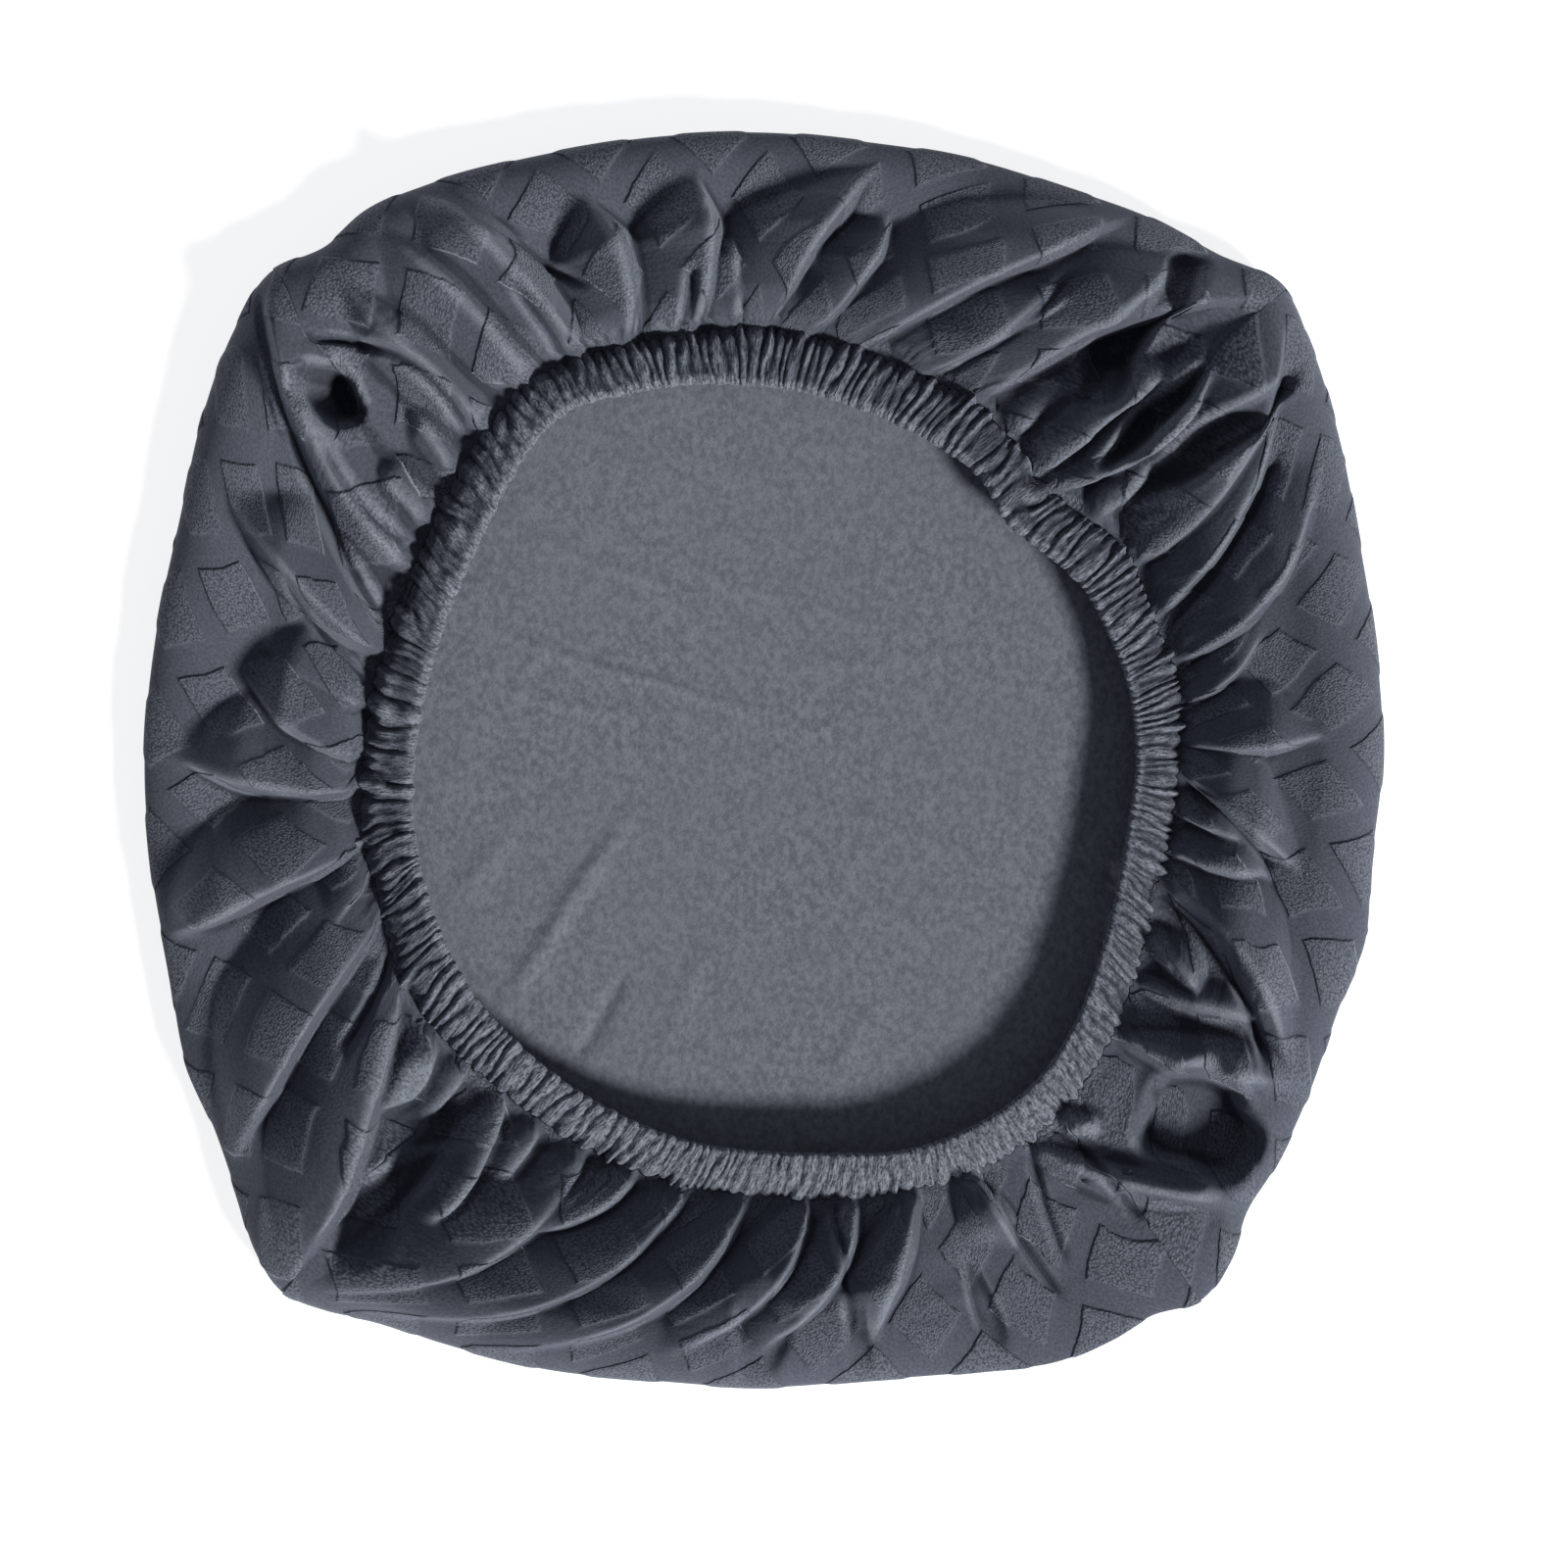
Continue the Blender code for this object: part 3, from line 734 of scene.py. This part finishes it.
def build_skirt(materials):
    """The four flaps, and the folded skirt that they are cut from."""
    x, up, drift, around, share, hem, out, painted_light = settle()
    cols = x.shape[1]
    n = normals_of(x)
    made = []
    bounds = corner_columns(out)
    bounds.append(bounds[0] + cols)
    for name, first, last in zip(FLAPS, bounds, bounds[1:]):
        take = np.arange(first, last + 1) % cols
        middle = len(take) // 2
        along = around[take] + around[-1] * (np.arange(first, last + 1) >= cols)
        across = -(along[None] - along[middle] + drift[:, take])
        p, q = lattice(across, -up[:, take], LATTICE[name])
        high = pad_height(p, q) * (1 - step(0.93, 1.0, share)[:, None])
        place = np.stack([p, q, p * 0 + 1], -1) * CELL
        piece = x[:, take] + n[:, take] * (PAD_HEIGHT * high)[..., None]
        piece[..., 2] = np.maximum(piece[..., 2], OUTER_FLOOR)
        inner = piece - n[:, take] * (CLOTH + PAD_HEIGHT * high)[..., None]
        inner[..., 2] = np.maximum(inner[..., 2], INNER_FLOOR)
        made.append(two_faced(name, piece, inner, place, painted_light[:, take], materials))
    return made, x, hem, out


SEAM_NEAR, SEAM_FAR = 0.0026, 0.0062  # how deep inside the cloth the seam allowance starts and ends
SEAM_HALF = 0.0007
SEAM_FLOOR = 0.0006


def build_corner_seams(x, out, material):
    """The sewn allowance on the inside of each corner, one for each CAD seam."""
    n = normals_of(x)
    section = (
        (SEAM_NEAR, -SEAM_HALF),
        (SEAM_NEAR, SEAM_HALF),
        (SEAM_FAR, SEAM_HALF),
        (SEAM_FAR, -SEAM_HALF),
    )
    made = []
    for label, k in zip("abcd", corner_columns(out)):
        line, inwards = x[2:-4, k], n[2:-4, k]
        ahead = np.gradient(line, axis=0)
        beside = np.cross(ahead, inwards)
        beside /= np.linalg.norm(beside, axis=-1, keepdims=True)
        points = np.stack([line - inwards * deep + beside * wide for deep, wide in section], 1)
        points[..., 2] = np.maximum(points[..., 2], SEAM_FLOOR)
        faces = grid_faces(len(line), 4, True).tolist()
        faces += [[3, 2, 1, 0], [len(line) * 4 - 4 + i for i in range(4)]]
        seam = mesh_object("seam_" + label, points, faces, [material])
        made.append((seam, "corner_seam_" + label))
    return made


HEM_COLUMNS = 2700
HEM_ROWS, HEM_TURN_ROWS, HEM_UNDER_ROWS = 13, 6, 3
HEM_RIM_Z = 0.0228
HEM_UNDER_Z = 0.0128, 0.0166  # the inner ply, at the base and at the rim
HEM_PLY = 0.0009
HEM_BULGE = 0.0012
HEM_LUMPS = 0.0005
HEM_SLANT, MOST_SLANT = 0.15, 2.0  # how far the ruffles slant as the folds do, and at most, in degrees
HEM_LEVEL = 0.15  # share of a ruffle's height that lies under the smooth hem
HEM_SPREAD, SPREAD_LEVEL = 0.25, 0.2  # how far the ruffles lean over the mouth, against their height
HEM_NOSE, NOSE_SHARE = 0.0013, 0.42  # the rim's roundness, and how much of a ruffle's height adds to it
RAW_EDGE = 0.0035  # how far short of the base the inner ply ends
LESS_DIP_SHADE = 0.35  # how much less painted shade the dips get along the front, which faces the light and where the loops lie open
HEM_MIDDLE, HEM_GATHER, HEM_ROW = 0.148, 1.8, 0.0013  # the cloth: its radius, fullness and metres to a row


def build_hem(material, edge, edge_hem):
    """The casing, from its base over the rim to its raw inner edge, with its ruffles."""
    hem = np.arange(HEM_COLUMNS) * 360 / HEM_COLUMNS
    known = np.concatenate([edge_hem - 360, edge_hem, edge_hem + 360])
    turned = np.degrees(np.unwrap(np.arctan2(edge[:, 1], edge[:, 0])))
    turned += 360 * np.round((edge_hem[0] - turned[0]) / 360)
    start = np.interp(hem, known, np.concatenate([turned - 360, turned, turned + 360]))
    base = np.interp(hem, known, np.tile(np.hypot(edge[:, 0], edge[:, 1]), 3))
    base_z = np.interp(hem, known, np.tile(edge[:, 2], 3))
    slant = np.clip(soft(hem - swept(hem), 40) * HEM_SLANT, -MOST_SLANT, MOST_SLANT)
    end = start + slant
    rim = on_ring(HEM_RIM, end)
    depth = on_ring(RUFFLE_DEPTH, hem) * on_ring(SPACING, hem) * 1e-3
    # the front, towards the light, gets less painted shade in its dips
    less_dip_shade = LESS_DIP_SHADE * step(0.4, 1.0, -np.sin(np.radians(hem)))
    lumps = HEM_LUMPS * smooth_noise((HEM_ROWS, HEM_COLUMNS), 0.7, 2.6, 7)
    rows = []
    clear_of_dip_shade = []
    for i in range(HEM_ROWS):
        t = i / (HEM_ROWS - 1)
        ripple = ruffles(hem, t)
        lift = depth * (ripple - HEM_LEVEL) * step(-0.25, 0.25, t)
        bulge = HEM_BULGE * math.sin(math.pi * min(1, 0.12 + 0.80 * t))
        r = base + (rim - base) * t - HEM_SPREAD * (lift - SPREAD_LEVEL * depth) * t
        z = base_z + (HEM_Z - base_z) * step(0.0, 0.22, t) + (HEM_RIM_Z - HEM_Z) * t
        rows.append((start + slant * t, r, z + lift + bulge + lumps[i] * step(0.0, 0.2, t)))
        # 1 on a ruffle's top and at the rim, 0 in a dip, which gets painted shade; less along the front
        clear_of_dip_shade.append(np.maximum(ripple + less_dip_shade, step(0.86, 0.98, t)))
    ripple = ruffles(hem, 1.0)
    lift = depth * (ripple - HEM_LEVEL)
    nose = HEM_NOSE + NOSE_SHARE * lift
    low, deep = HEM_UNDER_Z
    for i in range(1, HEM_TURN_ROWS):
        a = math.pi * i / (HEM_TURN_ROWS - 1)
        fade = 0.5 + 0.5 * math.cos(a)
        r = rim - nose * math.sin(a) - HEM_SPREAD * (lift - SPREAD_LEVEL * depth) * fade
        z = deep + (HEM_RIM_Z - deep) * fade + lift * fade
        rows.append((end, r, z))
        clear_of_dip_shade.append(np.ones_like(hem))
    for i in range(1, HEM_UNDER_ROWS + 1):
        t = i / HEM_UNDER_ROWS
        r = rim + (base - rim - RAW_EDGE) * t
        z = deep + (low - deep) * t + 0 * r
        rows.append((end - slant * t, r, z))
        clear_of_dip_shade.append(ripple)
    outer = np.stack([in_space(*row) for row in rows])
    # the inside of the cloth, in a few rows from the raw edge back to the base
    kept = [len(rows) - 1, HEM_ROWS + 3, HEM_ROWS - 1, HEM_ROWS // 2, 0]
    inner = (outer - normals_of(outer) * HEM_PLY)[kept]
    loop = np.concatenate([outer, inner])
    count = len(loop)
    cloth = np.zeros_like(loop)
    cloth[..., 0] = np.radians(hem)[None] * HEM_MIDDLE * HEM_GATHER
    cloth[..., 1] = np.arange(count)[:, None] * HEM_ROW
    # the casing's inside gets 0, full painted shade
    high = np.concatenate([np.array(clear_of_dip_shade), np.zeros((len(kept), HEM_COLUMNS))])
    faces = grid_faces(count + 1, HEM_COLUMNS, True)
    faces = np.where(faces >= count * HEM_COLUMNS, faces - count * HEM_COLUMNS, faces)
    return mesh_object("cloth_hem", loop, faces, [material], cloth, pad=high), outer


# Wrinkles on the panel: where one starts and ends in metres, its height in mm and half width in mm.
WRINKLES = [
    ((-0.098, -0.096), (-0.042, -0.010), 1.4, 3.4), ((-0.110, -0.052), (-0.086, -0.020), 0.8, 4.0),
    ((-0.072, -0.114), (-0.044, -0.068), -1.2, 2.8), ((-0.040, -0.112), (-0.018, -0.062), 0.6, 3.6),
    ((-0.108, 0.048), (0.034, 0.006), 0.9, 1.9), ((-0.102, 0.086), (-0.006, 0.050), 0.8, 1.8),
    ((-0.100, 0.026), (-0.030, 0.012), 0.6, 2.2), ((-0.088, 0.022), (-0.076, 0.048), 0.5, 2.0),
    ((-0.040, 0.072), (0.060, 0.042), 0.4, 2.2), ((0.010, -0.010), (0.100, -0.045), 0.4, 3.0),
    ((-0.010, 0.030), (0.090, 0.040), 0.3, 3.0), ((0.020, -0.120), (0.045, -0.080), 0.5, 3.5),
]
WRINKLE_SWING, WRINKLE_WAVE = 0.0006, 0.045  # how far a wrinkle swings from its line, and how often


def panel_wrinkles(px, py):
    """Height of the wrinkles at these places on the panel."""
    out = np.zeros_like(px)
    for n, ((x0, y0), (x1, y1), high, wide) in enumerate(WRINKLES):
        dx, dy = x1 - x0, y1 - y0
        long = math.hypot(dx, dy)
        along = ((px - x0) * dx + (py - y0) * dy) / long
        away = (-(px - x0) * dy + (py - y0) * dx) / long
        away = away - WRINKLE_SWING * np.sin(along * 2 * np.pi / WRINKLE_WAVE + n)
        ends = step(0, 0.35 * long, along) * (1 - step(0.6 * long, long, along))
        out += high * 1e-3 * ends * np.exp(-((away / (wide * 1e-3)) ** 2))
    return out


PANEL_RINGS, PANEL_COLUMNS = 100, 480
PANEL_TOP = 0.0021
PANEL_UNDER = 0.0009, 0.0008  # the bands' height over the floor, and how far the diamonds reach down
PANEL_MIDDLE = 0.0002
PANEL_LAP = 0.0005  # how far the panel runs under the skirt's edge


def build_panel(materials):
    """The seat panel: its smooth reverse faces up, with the wrinkles of a loose cloth."""
    rings, cols = PANEL_RINGS, PANEL_COLUMNS
    degrees = np.arange(cols) * 360 / cols
    edge = on_ring(OUTLINE, degrees) - TURN_UNDER + PANEL_LAP
    share = (np.arange(rings) + 1) / rings
    r = edge[None] * share[:, None]
    a = np.radians(degrees)[None]
    px, py = r * np.cos(a), r * np.sin(a)
    p, q = lattice(px, py, LATTICE["skirt_back"])
    pad = pad_height(p, q)
    upper = np.stack([px, py, PANEL_TOP + panel_wrinkles(px, py)], -1)
    lower = np.stack([px, py, PANEL_UNDER[0] - PANEL_UNDER[1] * pad], -1)
    middles = [[0, 0, PANEL_TOP]], [[0, 0, PANEL_MIDDLE]]
    points = np.concatenate([middles[0], upper.reshape(-1, 3), middles[1], lower.reshape(-1, 3)])

    # rings of quads and a fan round the middle on each side, and one ring of quads between the edges
    count = rings * cols
    start = count + 1
    last = (rings - 1) * cols
    j = np.arange(cols)
    after = (j + 1) % cols
    faces_up = (grid_faces(rings, cols, True) + 1)[:, ::-1].tolist()
    faces_up += np.stack([0 * j, 1 + j, 1 + after], -1).tolist()
    faces_low = (grid_faces(rings, cols, True) + start + 1).tolist()
    faces_low += np.stack([start + 0 * j, start + 1 + after, start + 1 + j], -1).tolist()
    side = [1 + last + j, start + 1 + last + j, start + 1 + last + after, 1 + last + after]
    faces_low += np.stack(side, -1).tolist()

    middle = [[*lattice(0.0, 0.0, LATTICE["skirt_back"]), CELL]]
    places = np.stack([p, q, 0 * p + 1], -1).reshape(-1, 3) * CELL
    return mesh_object(
        "cloth_seat_panel",
        points,
        faces_up + faces_low,
        materials,
        cloth=np.concatenate([middle, places, middle, places]),
        which=[1] * len(faces_up) + [0] * len(faces_low),
    )


STITCH_EVERY, STITCH_SPAN = 8, 4  # columns of the hem from one stitch to the next, and along one
STITCH_SIDES = 6
STITCH_RADIUS = 0.0003
STITCH_SUNK = 0.0016  # how far a stitch is drawn into the cloth
STITCH_SECTIONS = ((-0.0011, 0.3), (-0.0006, 1.0), (0.0006, 1.0), (0.0011, 0.3))  # place and thickness


def build_stitches(outer, material):
    """Short stitches over the casing's base, one for each dip between ruffles or so."""
    row = outer[0]
    cols = len(row)
    points, faces = [], []
    for k in range(0, cols, STITCH_EVERY):
        a, b = row[k], row[(k + STITCH_SPAN) % cols]
        middle = (a + b) / 2
        inwards = np.array([middle[0], middle[1], 0])
        inwards /= np.linalg.norm(inwards)
        along = (b - a) / np.linalg.norm(b - a)
        up = np.cross(along, inwards)
        start = len(points)
        for s, w in STITCH_SECTIONS:
            for m in range(STITCH_SIDES):
                t = 2 * np.pi * m / STITCH_SIDES
                offset = (math.cos(t) * up + math.sin(t) * inwards) * STITCH_RADIUS * w
                points.append(middle + along * s + offset - np.array([0, 0, STITCH_SUNK]))
        faces += (grid_faces(len(STITCH_SECTIONS), STITCH_SIDES, True) + start).tolist()
        faces.append([start + m for m in range(STITCH_SIDES - 1, -1, -1)])
        faces.append([len(points) - STITCH_SIDES + m for m in range(STITCH_SIDES)])
    return mesh_object("hem_stitches", points, faces, [material])


# ---- The scene ------------------------------------------------------------------------------------


def build():
    """Every piece of the visual model, each attached to its body and with the CAD node it stands for
    hidden.
    """
    outside, inside = jacquard(), reverse()
    sewn = thread()
    flaps, skirt, hem, out = build_skirt([outside, inside])
    casing, outer = build_hem(hem_cloth(), skirt[-1], hem)
    panel = build_panel([outside, inside])
    stitches = build_stitches(outer, sewn)
    for flap, node in zip(flaps, FLAPS):
        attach(flap, "root")
        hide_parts(node)
    for piece, node, slot in (
        (casing, "hem_casing", "fabric"),
        (panel, "seat_panel", "fabric"),
        (stitches, "hem_stitching", "thread"),
    ):
        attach(piece, "root")
        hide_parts(node)
    for seam, node in build_corner_seams(skirt, out, sewn):
        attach(seam, "root")
        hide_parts(node)
    for name, finish in (("elastic_splice", sewn), ("elastic_band", elastic())):
        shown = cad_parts[name]
        shown.data.materials.clear()
        shown.data.materials.append(finish)


SKY, SKY_STRENGTH = (0.90, 0.96, 1.10, 1), 0.225
SUN_STRENGTH, SUN_DEGREES = 4.85, 11
SUN_PLACE = (1.0, -1.0, 1.10)  # it shines from here to the middle
FLOOR_HALF = 4
FLOOR_TONE, FLOOR_GLOW = (0.42, 0.42, 0.42, 1), 0.82
CAMERA_HEIGHT = 3.0
CAMERA_PLACE = (0.0073, -0.0088, CAMERA_HEIGHT)
SHOWN_WIDTH = 0.5535  # how much the picture shows at the height of SHOWN_Z
SHOWN_Z = 0.03
SENSOR = 36


def light_and_camera():
    """A low sun from the lower right, a pale sky, an almost white floor and a camera straight above."""
    scene = bpy.context.scene
    scene.view_settings.view_transform = "Standard"
    world = bpy.data.worlds.new("studio")
    scene.world = world
    world.use_nodes = True
    world.node_tree.nodes["Background"].inputs["Color"].default_value = SKY
    world.node_tree.nodes["Background"].inputs["Strength"].default_value = SKY_STRENGTH
    sun = bpy.data.lights.new("key", "SUN")
    sun.energy = SUN_STRENGTH
    sun.angle = math.radians(SUN_DEGREES)
    key = bpy.data.objects.new("key", sun)
    key.location = SUN_PLACE
    key.rotation_euler = (-Vector(SUN_PLACE)).to_track_quat("-Z", "Y").to_euler()
    scene.collection.objects.link(key)

    half = FLOOR_HALF
    corners = [(-half, -half, 0), (half, -half, 0), (half, half, 0), (-half, half, 0)]
    plane = bpy.data.meshes.new("floor")
    plane.from_pydata(corners, [], [(0, 1, 2, 3)])
    floor = bpy.data.objects.new("floor", plane)
    scene.collection.objects.link(floor)
    n = Nodes("pale_floor")
    n.shader.inputs["Base Color"].default_value = FLOOR_TONE
    n.shader.inputs["Roughness"].default_value = 0.9
    n.shader.inputs["Emission Color"].default_value = (1, 1, 1, 1)
    n.shader.inputs["Emission Strength"].default_value = FLOOR_GLOW
    plane.materials.append(n.material)

    data = bpy.data.cameras.new("camera")
    camera = bpy.data.objects.new("camera", data)
    scene.collection.objects.link(camera)
    data.sensor_width = SENSOR
    data.lens = SENSOR * (CAMERA_HEIGHT - SHOWN_Z) / SHOWN_WIDTH
    camera.location = CAMERA_PLACE
    camera.rotation_euler = (0, 0, 0)
    scene.camera = camera


build()
light_and_camera()
